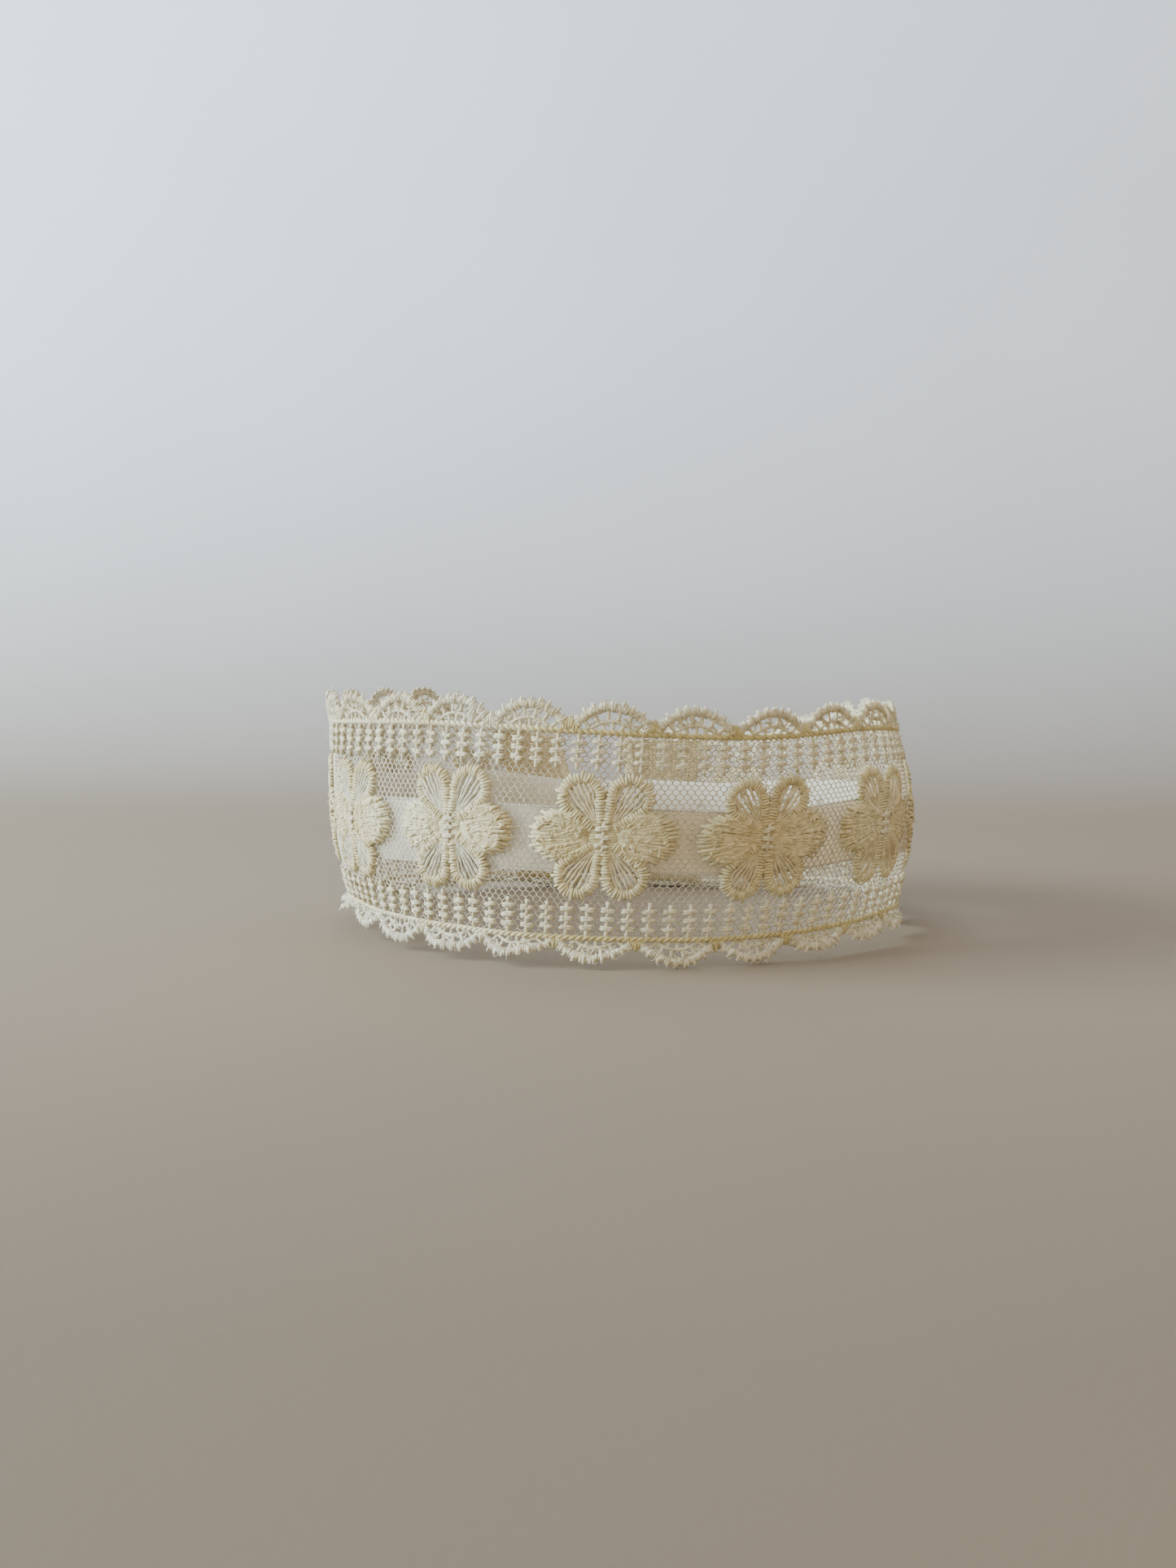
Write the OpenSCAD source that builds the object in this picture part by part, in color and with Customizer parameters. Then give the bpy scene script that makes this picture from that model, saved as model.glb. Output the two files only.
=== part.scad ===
// Lace band with a sheer ribbon, closed into a loop that stands on its lower scallops.
// The origin is under the middle of the loop, +Z points up, and the two cut ends of the lace are at +Y.
// The layers from the inside out: ribbon, a little slack, net, and then the embroidery on the net.

/* [Band] */
// Diameter inside the closed loop, across the ribbon
loop_d = 105; // [90:1:130]
// Height of the lace between the tips of its two scalloped edges
lace_h = 45; // [42:0.5:50]
// Distance along the loop between the two cut ends of the lace
end_gap = 13.4; // [12.4:0.2:15]
// Width of the ribbon
ribbon_w = 11; // [8:0.5:14]

/* [Thicknesses] */
// Thickness of the ribbon
ribbon_t = 0.25; // [0.15:0.05:0.3]
// Space between the ribbon and the net, which are joined only by the tacks
slack = 0.3; // [0.3:0.05:0.6]
// Thickness of the net
net_t = 0.25; // [0.15:0.05:0.3]
// How far the satin stitch and the scallops stand out from the net
stitch_t = 0.8; // [0.5:0.1:1]
// Height and depth of the cord along the foot of each row of scallops
cord_d = 1.1; // [0.8:0.1:1.2]

/* [Flowers] */
// Number of flower places round the loop; the ends of the lace meet in the last one
flower_places = 12; // [12:1:12]
// Distance from the middle of a flower to the middle of an upper or lower petal's round end
petal_reach = 7.9; // [7.4:0.1:8]
// Radius of the round end of the four upper and lower petals
petal_r = 3.65; // [3:0.05:3.7]
// Angle of those petals above or below the horizontal
petal_angle = 59; // [56:1:62]
// Distance from the middle of a flower to the middle of a side petal's round end
side_reach = 8.25; // [7.6:0.05:8.4]
// Radius of the round end of the two side petals
side_r = 4.2; // [3.4:0.1:4.2]

/* [Edges] */
// Height of a scallop's outer rib above its cord, before its picots
scallop_h = 4; // [3:0.1:4.2]
// Height of the ladders between the cord and the open net
ladder_h = 5.6; // [4:0.1:6]

/* [Hidden] */
$fn = 48;
FLOWERS = flower_places - 1;
MIDDLE_FLOWER = (FLOWERS - 1) / 2;
FIRST_FLOWER = 13;

// Radii of the faces where one layer ends and the next begins
loop_r = loop_d / 2;
ribbon_r = loop_r + ribbon_t;
overlap_r = ribbon_r + ribbon_t;
net_inner_r = ribbon_r + slack;
net_r = net_inner_r + net_t;
lace_r = net_r + stitch_t;

// Angles round the loop
flower_pitch = 360 / flower_places;
scallop_pitch = flower_pitch / 2;
ladder_pitch = scallop_pitch / 4;
lace_half = 180 - end_gap / net_r / PI * 90;
SCALLOPS = 2 * flower_places - 1;
LADDERS = 4 * SCALLOPS;

// Heights
mid_z = lace_h / 2;
picot_r = 0.5;
picot_out = 0.55;
cord_z = mid_z - scallop_h - picot_out - cord_d / 2;
net_half = cord_z + cord_d / 2;

// The rib of a scallop is an arc that stands on the cord with its feet this far apart
scallop_foot = 2 * net_r * sin(scallop_pitch / 2) - 0.4;
rib_w = 0.9;
rib_r = (pow(scallop_foot / 2, 2) + pow(scallop_h, 2)) / 2 / scallop_h;
middle_rib_r = rib_r - 2.4;
middle_rib_w = 0.6;
spoke_w = 0.5;
picot_angles = [-48:12:48];
outer_spokes = [-45:18:45];
inner_spokes = [-19:19:19];

// Ladders and the three rungs in the middle of each flower share one pattern
rung_w = 1.9;
rung_h = 0.55;
rung_pitch = 1.55;
rung_t = 0.5;
stem_w = 0.5;

// Ring of stitches in the middle of a flower, round an upright opening
ring_w = 4.8;
ring_h = 6.6;
eye_w = 2.8;
eye_h = 4.6;
petal_foot = 2.4;
petal_foot_at = 1.6;

// A tack joins the ribbon to the back of a flower: two legs and the bar between them
tack_d = 0.35;
tack_h = 1.4;
tack_x = 4.4;

// Binding at the cut ends of the lace, and the ribbon's overlap between them
binding_w = 1.5;
binding_t = 0.6;
overlap_w = end_gap - 2.4;
overlap_inset = 0.2;
seam_stitch = [0.35, 1.3];
SEAM_STITCHES = 5;
seam_inset = 1.2;

ivory = [0.88, 0.84, 0.73];
ecru = [0.84, 0.78, 0.64];
sheer = [0.86, 0.83, 0.76];
thread = [0.93, 0.9, 0.82];

// A band round the loop from one angle to another, counted from the front (-Y) towards +X
module band(inner, outer, low, high, from, to) {
  rotate([0, 0, from - 90])
    rotate_extrude(angle = to - from)
      translate([inner, low])
        square([outer - inner, high - low]);
}

// Stands a block up on the front of the loop and wraps it to the net, as deep as the embroidery
module wrapped(angle, half_width) {
  rotate([0, 0, angle])
    intersection() {
      band(net_r, lace_r, 0, lace_h, -half_width, half_width);
      translate([0, 0, mid_z])
        rotate([90, 0, 0])
          children();
    }
}

// Lays a small flat piece of a given thickness on the net
module laid(angle, thickness) {
  rotate([0, 0, angle])
    translate([0, -net_r, mid_z])
      rotate([90, 0, 0])
        linear_extrude(height = thickness)
          children();
}

// Upper edge, or lower edge when side is -1
module edge(side) {
  if (side > 0)
    children();
  else
    translate([0, 0, lace_h])
      mirror([0, 0, 1])
        children();
}

// A block as deep as the whole loop, to be wrapped
module block() {
  linear_extrude(height = lace_r + 1)
    children();
}

// An upright block with round ends
module slot_block(w, h) {
  block()
    square([w, h - w], center = true);
  for (y = [(w - h) / 2, (h - w) / 2])
    translate([0, y, 0])
      cylinder(d = w, h = lace_r + 1);
}

// One petal along +X: a round end, and straight sides that run from a narrow foot into it
module petal(reach, r) {
  shoulder = 0.84 * r;
  block()
    polygon([
      [petal_foot_at, -petal_foot / 2],
      [petal_foot_at, petal_foot / 2],
      [reach, shoulder],
      [reach, -shoulder]
    ]);
  translate([reach, 0, 0])
    cylinder(r = r, h = lace_r + 1);
}

module flower_block() {
  difference() {
    union() {
      slot_block(ring_w, ring_h);
      for (side = [0, 180])
        rotate([0, 0, side])
          petal(side_reach, side_r);
      for (side = [petal_angle, 180 - petal_angle, 180 + petal_angle, -petal_angle])
        rotate([0, 0, side])
          petal(petal_reach, petal_r);
    }
    slot_block(eye_w, eye_h);
  }
}

// The leg through ribbon and net, at both ends of every tack
module tack_legs(angle, inner, outer) {
  for (x = [-tack_x, tack_x], z = [-tack_h / 2, tack_h / 2])
    rotate([0, 0, angle + x / net_r * 180 / PI])
      translate([0, -inner, mid_z + z])
        rotate([90, 0, 0])
          cylinder(d = tack_d, h = outer - inner);
}

// The bar of every tack, from a given radius out to its face inside the back of the flower
module tack_bars(angle, inner) {
  for (x = [-tack_x, tack_x])
    rotate([0, 0, angle + x / net_r * 180 / PI])
      translate([-tack_d / 2, -net_r - tack_d, mid_z - (tack_h + tack_d) / 2])
        cube([tack_d, net_r + tack_d - inner, tack_h + tack_d]);
}

module flower(i) {
  angle = (i - MIDDLE_FLOWER) * flower_pitch;
  color(ivory)
    difference() {
      wrapped(angle, flower_pitch / 2)
        flower_block();
      tack_bars(angle, net_r - 1);
    }
}

module rungs() {
  for (k = [-1:1])
    translate([0, k * rung_pitch])
      square([rung_w, rung_h], center = true);
}

// The openwork bar in the eye of each flower
module flower_centres() {
  color(ivory)
    for (i = [0:FLOWERS - 1])
      laid((i - MIDDLE_FLOWER) * flower_pitch, rung_t) {
        square([stem_w, eye_h], center = true);
        rungs();
      }
}

module ladders(side) {
  color(ivory)
    edge(side)
      for (i = [0:LADDERS - 1])
        laid((i - (LADDERS - 1) / 2) * ladder_pitch, rung_t)
          translate([0, cord_z - cord_d / 2 - ladder_h / 2]) {
            square([stem_w, ladder_h], center = true);
            rungs();
          }
}

module cord(side) {
  color(ecru)
    edge(side)
      translate([0, 0, mid_z + cord_z])
        rotate([0, 0, -90 - lace_half])
          rotate_extrude(angle = 2 * lace_half)
            translate([net_r, 0])
              intersection() {
                translate([stitch_t - cord_d / 2, 0])
                  circle(d = cord_d);
                translate([0, -cord_d])
                  square([2 * cord_d, 2 * cord_d]);
              }
}

module arc_rib(r, w) {
  difference() {
    circle(r = r);
    circle(r = r - w);
  }
}

module spokes(angles, inner, outer) {
  for (a = angles)
    rotate(a)
      translate([-spoke_w / 2, inner])
        square([spoke_w, outer - inner]);
}

// One scallop: an outer rib with picots, a middle rib, and spokes between them
module scallop() {
  intersection() {
    translate([0, net_half + scallop_h - rib_r]) {
      arc_rib(rib_r, rib_w);
      arc_rib(middle_rib_r, middle_rib_w);
      spokes(outer_spokes, middle_rib_r - middle_rib_w / 2, rib_r - rib_w / 2);
      spokes(inner_spokes, 0, middle_rib_r - middle_rib_w / 2);
      for (a = picot_angles)
        rotate(a)
          translate([0, rib_r + picot_out - picot_r])
            circle(r = picot_r);
    }
    translate([-scallop_foot / 2, net_half])
      square([scallop_foot, scallop_h + 2]);
  }
}

module scallops(side) {
  color(ivory)
    edge(side)
      for (i = [0:SCALLOPS - 1])
        wrapped((i - (SCALLOPS - 1) / 2) * scallop_pitch, scallop_pitch / 2)
          block()
            scallop();
}

module net_ground() {
  color(ecru)
    difference() {
      band(net_inner_r, net_r, mid_z - net_half, mid_z + net_half, -lace_half, lace_half);
      for (i = [0:FLOWERS - 1])
        tack_legs((i - MIDDLE_FLOWER) * flower_pitch, net_inner_r - 0.1, net_r + 0.1);
    }
}

// The whipped edge where the lace was cut, between the two cords
module end_binding(side) {
  half = cord_z - cord_d / 2;
  width = binding_w / net_r * 180 / PI;
  from = side > 0 ? lace_half - width : -lace_half;
  color(ivory)
    band(net_r, net_r + binding_t, mid_z - half, mid_z + half, from, from + width);
}

// The ribbon runs right round, and its ends overlap between the ends of the lace
module ribbon() {
  overlap_half = overlap_w / ribbon_r / PI * 90;
  low = mid_z - ribbon_w / 2;
  high = low + ribbon_w;
  color(sheer)
    difference() {
      union() {
        translate([0, 0, low])
          difference() {
            cylinder(r = ribbon_r, h = ribbon_w);
            translate([0, 0, -1])
              cylinder(r = loop_r, h = ribbon_w + 2);
          }
        band(ribbon_r, overlap_r, low + overlap_inset, high - overlap_inset, 180 - overlap_half, 180 + overlap_half);
      }
      for (i = [0:FLOWERS - 1])
        tack_legs((i - MIDDLE_FLOWER) * flower_pitch, loop_r - 0.1, ribbon_r + 0.1);
    }
}

// Two rows of small upright stitches that hold the ribbon's overlap
module ribbon_seam_stitches() {
  row_x = overlap_w / 2 - seam_inset;
  pitch = (ribbon_w - seam_inset) / SEAM_STITCHES;
  color(thread)
    for (x = [-row_x, row_x], k = [0:SEAM_STITCHES - 1])
      rotate([0, 0, 180 + x / overlap_r * 180 / PI])
        translate([-seam_stitch[0] / 2, -overlap_r - seam_stitch[0], mid_z + (k - (SEAM_STITCHES - 1) / 2) * pitch])
          translate([0, 0, -seam_stitch[1] / 2])
            cube([seam_stitch[0], seam_stitch[0], seam_stitch[1]]);
}

module ribbon_tacks() {
  color(thread)
    for (i = [0:FLOWERS - 1]) {
      tack_legs((i - MIDDLE_FLOWER) * flower_pitch, loop_r, net_r + tack_d / 2);
      tack_bars((i - MIDDLE_FLOWER) * flower_pitch, net_r);
    }
}

ribbon();
ribbon_seam_stitches();
ribbon_tacks();
net_ground();
end_binding(-1);  // left_end_binding
end_binding(1);  // right_end_binding
flower_centres();
cord(1);  // upper_cord
cord(-1);  // lower_cord
scallops(1);  // upper_scallops
scallops(-1);  // lower_scallops
ladders(1);  // upper_ladders
ladders(-1);  // lower_ladders
for (i = [0:FLOWERS - 1])
  flower(i);
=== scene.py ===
"""A lace band with a sheer ribbon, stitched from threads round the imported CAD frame."""

import math

import bpy
import numpy as np
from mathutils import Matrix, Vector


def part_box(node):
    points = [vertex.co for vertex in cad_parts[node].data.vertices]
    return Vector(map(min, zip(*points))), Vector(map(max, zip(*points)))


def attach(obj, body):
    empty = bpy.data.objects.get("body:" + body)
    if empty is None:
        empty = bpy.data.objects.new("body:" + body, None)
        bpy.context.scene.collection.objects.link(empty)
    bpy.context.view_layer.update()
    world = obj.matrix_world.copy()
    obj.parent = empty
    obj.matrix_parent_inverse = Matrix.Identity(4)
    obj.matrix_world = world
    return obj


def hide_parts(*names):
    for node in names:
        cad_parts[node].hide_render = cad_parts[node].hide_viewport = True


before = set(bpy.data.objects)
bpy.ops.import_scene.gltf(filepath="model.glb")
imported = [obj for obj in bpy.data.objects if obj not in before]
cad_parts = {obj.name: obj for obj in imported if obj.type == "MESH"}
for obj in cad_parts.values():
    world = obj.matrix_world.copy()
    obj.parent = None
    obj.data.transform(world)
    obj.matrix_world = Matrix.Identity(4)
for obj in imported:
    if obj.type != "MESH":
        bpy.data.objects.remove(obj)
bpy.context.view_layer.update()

MM = 0.001
PI = math.pi
HALF_THICK = 0.12  # of the ribbon in the CAD, in mm


# ---------------------------------------------------------------- measures from the CAD frame, in mm
def node_box(node):
    low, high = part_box(node)
    return [v / MM for v in low], [v / MM for v in high]


def half_width(node):
    low, high = node_box(node)
    return (high[0] - low[0]) / 2


NET_R = half_width("net_ground")
RIBBON_R = half_width("ribbon")
LACE_TOP = node_box("upper_scallops")[1][2]
MID = LACE_TOP / 2
CORD_Z = sum(node_box("upper_cord")[i][2] for i in (0, 1)) / 2 - MID
CORD_D = node_box("upper_cord")[1][2] - node_box("upper_cord")[0][2]
LADDER_LOW = node_box("upper_ladders")[0][2] - MID
LADDER_HIGH = node_box("upper_ladders")[1][2] - MID
RIBBON_W = node_box("ribbon")[1][2] - node_box("ribbon")[0][2]
LACE_HALF = PI - math.asin(node_box("right_end_binding")[0][0] / NET_R)
FLOWERS = sorted(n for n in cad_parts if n.startswith("flower_") and n[-1].isdigit())
PLACES = len(FLOWERS) + 1
FLOWER_PITCH = 2 * PI * NET_R / PLACES
SCALLOP_PITCH = FLOWER_PITCH / 2
LADDER_PITCH = SCALLOP_PITCH / 4
SCALLOPS = 2 * PLACES - 1
LADDERS = 4 * SCALLOPS
LACE_END = LACE_HALF * NET_R
NET_HALF = CORD_Z + CORD_D / 2
FOOT = MID - CORD_Z
RIBBON_D = RIBBON_R - HALF_THICK - NET_R


def centred(i, count, pitch):
    """Where the i-th of a row of things stands, with the row's middle at 0."""
    return (i - (count - 1) / 2) * pitch


def flower_at(i):
    return centred(i, len(FLOWERS), FLOWER_PITCH)


# ---------------------------------------------------------------- from the flat band to the standing loop
def ramp(low, high, x):
    t = np.clip((x - low) / (high - low), 0, 1)
    return t * t * (3 - 2 * t)


# Angles round the loop are 0 at the middle front flower and grow to the right. Lengths are in mm
BACK_TURN, BACK_FROM, BACK_FULL = 5, 115, 165  # degrees
SPLAY_FRONT, SPLAY_BACK = math.radians(24), math.radians(84)  # how far the lower scallops turn out
HINGE = 2.2  # the length over which they turn
FLARE_FROM, FLARE_HINGE, FLARE = 21.0, 8.0, math.radians(48)  # how the back leans out above mid-height
FLATTER_BACK, WIDER = 4.0, 1.2  # how far the loop is from round
TWIST = 1.8  # how far the upper edge is turned against the middle
SKEW = math.radians(7.3)  # how far the gap is turned to the left of the middle of the back


def back_share(theta):
    """0 round most of the loop and 1 at the back, where the lower scallops lie flat and the band sits lower."""
    away = np.abs((np.degrees(theta) + BACK_TURN + 180) % 360 - 180)
    return ramp(BACK_FROM, BACK_FULL, away)


def hanging(length, splay, hinge):
    """How far a strip reaches outwards and along when it bends over its first few millimetres, and its angle."""
    start = np.minimum(length, hinge)
    angle = splay * start / hinge
    rest = np.maximum(length - hinge, 0)
    out = hinge / splay * (1 - np.cos(angle)) + rest * np.sin(angle)
    down = hinge / splay * np.sin(angle) + rest * np.cos(angle)
    return out, down, angle


def hump(theta, centre, width):
    gap = (np.degrees(theta) - centre + 180) % 360 - 180
    return np.exp(-((gap / width) ** 2))


def bulge(theta, z):
    """How far the band swells out at mid-height and pulls in at its foot, with slow waves round the loop."""
    level = (z - MID) / MID
    swell = 1.3 + 0.9 * np.sin(theta)
    taper = 1.7 * ((1 - level) / 2) ** 2
    slow = 0.4 * np.sin(3 * theta + 0.7) + 0.3 * np.sin(5 * theta + 1.9)
    ripple = 0.16 * np.sin(11 * theta + 2.2 * level) + 0.1 * np.sin(19 * theta - 1.5 * level)
    tuck = 1.8 * hump(theta, -74, 28) * (1 - z / 16).clip(0)
    high, low = level.clip(0), (-level).clip(0)
    right = hump(theta, 82, 38) * (0.7 * (1 - low**2) - 3.0 * high**1.5)
    left = hump(theta, -82, 38) * (1.0 - 1.3 * low)
    return swell * (1 - level**2) - taper + slow + ripple - tuck + right + left + WIDER * np.sin(theta) ** 2


def lifted(theta, z):
    """The band isn't quite level: parts of it stand a millimetre or two higher."""
    wave = 0.8 + 1.1 * hump(theta, -36, 26) - 1.2 * hump(theta, 27, 22) + 1.1 * hump(theta, 62, 20)
    wave = wave * (1 - back_share(theta)) * (0.3 + 0.7 * z.clip(0) / LACE_TOP)
    tuck = 2.0 * hump(theta, -74, 28) * (1 - z / 16).clip(0) ** 1.5
    sag = (2.4 * hump(theta, 78, 34) + 1.8 * hump(theta, 128, 22)) * (z.clip(0) / LACE_TOP) ** 1.5
    return wave + tuck - sag


def wrap(points):
    """Maps flat points (along, up, out), in mm, to the loop, in metres."""
    u, z, d = np.asarray(points, float).T
    theta = (u + TWIST * (z - MID) / MID) / NET_R
    theta = theta + SKEW * ((1 - np.cos(theta)) / 2) ** 2
    back = back_share(theta)
    base = SPLAY_FRONT + (SPLAY_BACK - SPLAY_FRONT) * back
    crumple = (1 - back) * (0.35 + 0.45 * np.sin(7 * theta + 0.4) * np.sin(12 * theta + 1.1))
    out, down, angle = hanging(np.maximum(FOOT - z, 0), base + np.maximum(crumple, 0), HINGE)
    drop = FOOT - hanging(FOOT, base, HINGE)[1]
    flare = FLARE * back + 0.001
    over, along, lean = hanging(np.maximum(z - FLARE_FROM, 0), flare, FLARE_HINGE)
    above = np.maximum(z - (MID + CORD_Z), 0)
    curl = (0.04 + 0.035 * np.sin(12 * theta + 0.8) + 0.03 * np.sin(17 * theta)) * above**1.6
    r = NET_R + bulge(theta, z) - FLATTER_BACK * back + curl + out + over + d * np.cos(angle + lean)
    height = np.where(z < FOOT, FOOT - down, np.minimum(z, FLARE_FROM) + along)
    height = height - drop + lifted(theta, z) + d * (np.sin(angle) - np.sin(lean))
    height = np.maximum(height, 0.02)
    return np.stack([r * np.sin(theta), -r * np.cos(theta), height], 1) * MM


# ---------------------------------------------------------------- thread geometry
class Piece:
    """Collects surfaces in flat coordinates and turns them into one Blender object."""

    def __init__(self):
        self.points, self.faces, self.count = [], [], 0

    def add(self, points, *faces):
        self.points.append(points.reshape(-1, 3))
        for f in faces:
            if len(f):
                self.faces.append(np.asarray(f) + self.count)
        self.count += self.points[-1].shape[0]

    def tubes(self, paths, half_w, half_h=None, sides=5, caps=True, normal=(0, 0, 1), closed=False):
        """Round threads along many paths of equal length. paths has the shape (threads, points, 3)."""
        paths = np.asarray(paths, float)
        n, k = paths.shape[:2]
        if closed:
            along = np.roll(paths, -1, 1) - np.roll(paths, 1, 1)
        else:
            along = np.gradient(paths, axis=1)
        along /= np.linalg.norm(along, axis=2, keepdims=True) + 1e-12
        side = np.cross(np.asarray(normal, float), along)
        side /= np.linalg.norm(side, axis=2, keepdims=True) + 1e-12
        up = np.cross(along, side)
        w = np.broadcast_to(half_w, (n, k))[..., None, None]
        h = np.broadcast_to(half_w if half_h is None else half_h, (n, k))[..., None, None]
        a = (np.arange(sides) + 0.5) / sides * 2 * PI
        ring = (
            paths[:, :, None]
            + w * np.cos(a)[:, None] * side[:, :, None]
            + h * np.sin(a)[:, None] * up[:, :, None]
        )
        index = np.arange(n * k * sides).reshape(n, k, sides)
        here, there = (index, np.roll(index, -1, 1)) if closed else (index[:, :-1], index[:, 1:])
        turned = np.roll(here, -1, 2), np.roll(there, -1, 2)
        quads = np.stack([here, turned[0], turned[1], there], -1).reshape(-1, 4)
        ends = []
        if caps and not closed:
            ends = np.concatenate([index[:, 0, ::-1], index[:, -1]])
        self.add(ring, quads, ends)

    def pillow(self, top, bottom):
        """A closed pad between two grids of points whose borders are joined."""
        a, b = top.shape[:2]
        index = np.arange(a * b).reshape(a, b)
        quads = np.stack([index[:-1, :-1], index[1:, :-1], index[1:, 1:], index[:-1, 1:]], -1)
        under = quads[..., ::-1] + a * b
        edge = np.concatenate([index[0, :-1], index[:-1, -1], index[-1, :0:-1], index[:0:-1, 0]])
        following = np.roll(edge, -1)
        walls = np.stack([edge, following, following + a * b, edge + a * b], -1)
        both = np.concatenate([top.reshape(-1, 3), bottom.reshape(-1, 3)])
        self.add(both, quads.reshape(-1, 4), under.reshape(-1, 4), walls)

    def fuzz(self, count, seed):
        """Adds stray fibres that stand off the threads."""
        rng = np.random.default_rng(seed)
        roots = np.concatenate(self.points)
        roots = roots[rng.integers(0, len(roots), count)]
        turn = rng.uniform(0, 2 * PI, count)
        ahead = np.stack([np.cos(turn), np.sin(turn), rng.uniform(0.05, 0.6, count)], 1)
        size = rng.uniform(0.3, 0.95, count)[:, None, None]
        t = np.array([0, 0.5, 1])[:, None]
        bend = rng.uniform(-0.4, 0.4, (count, 3))
        paths = roots[:, None] + size * (t * ahead[:, None] + t**2 * bend[:, None])
        self.tubes(paths, np.array([0.07, 0.06, 0.03]), sides=3)
        return self

    def make(self, name, look, slot, *nodes):
        points = wrap(np.concatenate(self.points))
        starts, loops, at = [], [], 0
        for f in self.faces:
            starts.append(at + np.arange(len(f)) * f.shape[1])
            loops.append(f.reshape(-1))
            at += f.size
        mesh = bpy.data.meshes.new(name)
        mesh.vertices.add(len(points))
        mesh.vertices.foreach_set("co", points.reshape(-1))
        mesh.loops.add(at)
        mesh.loops.foreach_set("vertex_index", np.concatenate(loops).astype(np.int32))
        starts = np.concatenate(starts).astype(np.int32)
        mesh.polygons.add(len(starts))
        mesh.polygons.foreach_set("loop_start", starts)
        mesh.polygons.foreach_set("use_smooth", np.ones(len(starts), bool))
        mesh.update(calc_edges=True)
        mesh.validate()
        mesh.materials.append(look)
        obj = bpy.data.objects.new(name, mesh)
        bpy.context.scene.collection.objects.link(obj)
        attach(obj, "root")
        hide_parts(*nodes)
        return obj


def turned(points, angle):
    """Turns flat (x, y) arrays about the origin."""
    c, s = math.cos(angle), math.sin(angle)
    return np.stack([points[..., 0] * c - points[..., 1] * s, points[..., 0] * s + points[..., 1] * c], -1)


def even_steps(line, pitch):
    """Points at equal steps along a polyline, the unit vectors to its left there, and how far along they are."""
    line = np.asarray(line, float)
    leg = np.linalg.norm(np.diff(line, axis=0), axis=1)
    run = np.concatenate([[0], np.cumsum(leg)])
    count = max(4, int(round(run[-1] / pitch)))
    s = (np.arange(count) + 0.5) / count * run[-1]
    at = np.stack([np.interp(s, run, line[:, i]) for i in (0, 1)], 1)
    ahead = np.stack([np.interp(s + 0.3, run, line[:, i]) for i in (0, 1)], 1)
    behind = np.stack([np.interp(s - 0.3, run, line[:, i]) for i in (0, 1)], 1)
    t = ahead - behind
    t /= np.linalg.norm(t, axis=1, keepdims=True)
    return at, np.stack([-t[:, 1], t[:, 0]], 1), s


def with_depth(flat, d):
    return np.concatenate([flat, np.broadcast_to(d, flat.shape[:-1])[..., None]], -1)


SATIN_W = 0.26  # half the width of a satin stitch


def satin(line, half, height, rng, pitch=0.5, reach=None, base=0.06):
    """Stitches laid side by side across a line. reach adds to their left ends."""
    at, left, s = even_steps(line, pitch)
    more = np.zeros(len(s)) if reach is None else reach(s)
    more = more + rng.uniform(-0.1, 0.14, len(s))
    less = rng.uniform(-0.12, 0.12, len(s))
    lean = rng.uniform(-0.16, 0.16, len(s))
    along = np.stack([left[:, 1], -left[:, 0]], 1)
    steps = np.array([-1.0, -0.62, 0.0, 0.62, 1.0])
    offset = np.where(steps > 0, steps * (half + more[:, None]), steps * (half + less[:, None]))
    flat = at[:, None] + offset[..., None] * left[:, None] + (lean[:, None] * steps)[..., None] * along[:, None]
    tall = height * rng.uniform(0.74, 1.08, len(s))
    arch = np.array([0.0, 0.72, 1.0, 0.72, 0.0])
    d = base + (tall[:, None] - base) * arch
    return with_depth(flat, d)


def teeth(s, pitch, size, sharp=3.0):
    """How far teeth stand out at places s along an edge."""
    return size * (0.5 + 0.5 * np.cos(2 * PI * s / pitch)) ** sharp


# ---------------------------------------------------------------- one flower
REACH, PETAL_R = 7.75, 3.88  # an open petal's round end: how far out its middle is, and its radius
SIDE_REACH, SIDE_R = 8.25, 4.2  # the same for a filled petal
PETAL_TURN = math.radians(59)
FAN = 108  # degrees to each side that the stitches of a filled petal spread over its round end
TOOTH = 1.35


def arc(cx, radius, start, end, count=24):
    a = np.radians(np.linspace(start, end, count))
    return np.stack([cx + radius * np.cos(a), radius * np.sin(a)], 1)


def open_petal(put, put_thread, angle, rng):
    """A looped petal: a satin rim with a toothed outer edge, and separate threads from foot to rim inside it."""
    rho = PETAL_R - 0.85
    line = np.concatenate([[[2.2, 0.7]], arc(REACH, rho, 106, -106), [[2.2, -0.7]]])
    rim = turned(line, angle)
    core = even_steps(rim, 0.9)[0]
    put(with_depth(core[None], 0.3), 0.5, 0.26)
    start = rng.uniform(0, TOOTH)
    stitches = satin(rim, 0.82, 0.8, rng, reach=lambda s: teeth(s + start, TOOTH, 0.5))
    put(stitches, SATIN_W, 0.22)
    inner = rho - 0.3
    for q in (-2.1, -1.26, -0.42, 0.42, 1.26, 2.1):
        q = q + rng.uniform(-0.14, 0.14)
        tip = REACH + math.sqrt(max(inner**2 - q**2, 0.2))
        t = np.linspace(0, 1, 8)
        p = 2.2 + (tip - 2.2) * t
        across = q * (0.3 + 0.7 * ramp(0, 0.85, t))
        for twist in (0, PI):
            wave = 0.1 * np.cos(t * 3.2 * PI + twist + q)
            lift = 0.36 + 0.1 * np.sin(t * 3.2 * PI + twist + q)
            path = turned(np.stack([p, across + wave], 1), angle)
            put_thread(with_depth(path[None], lift), np.linspace(0.16, 0.25, 8))


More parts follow.
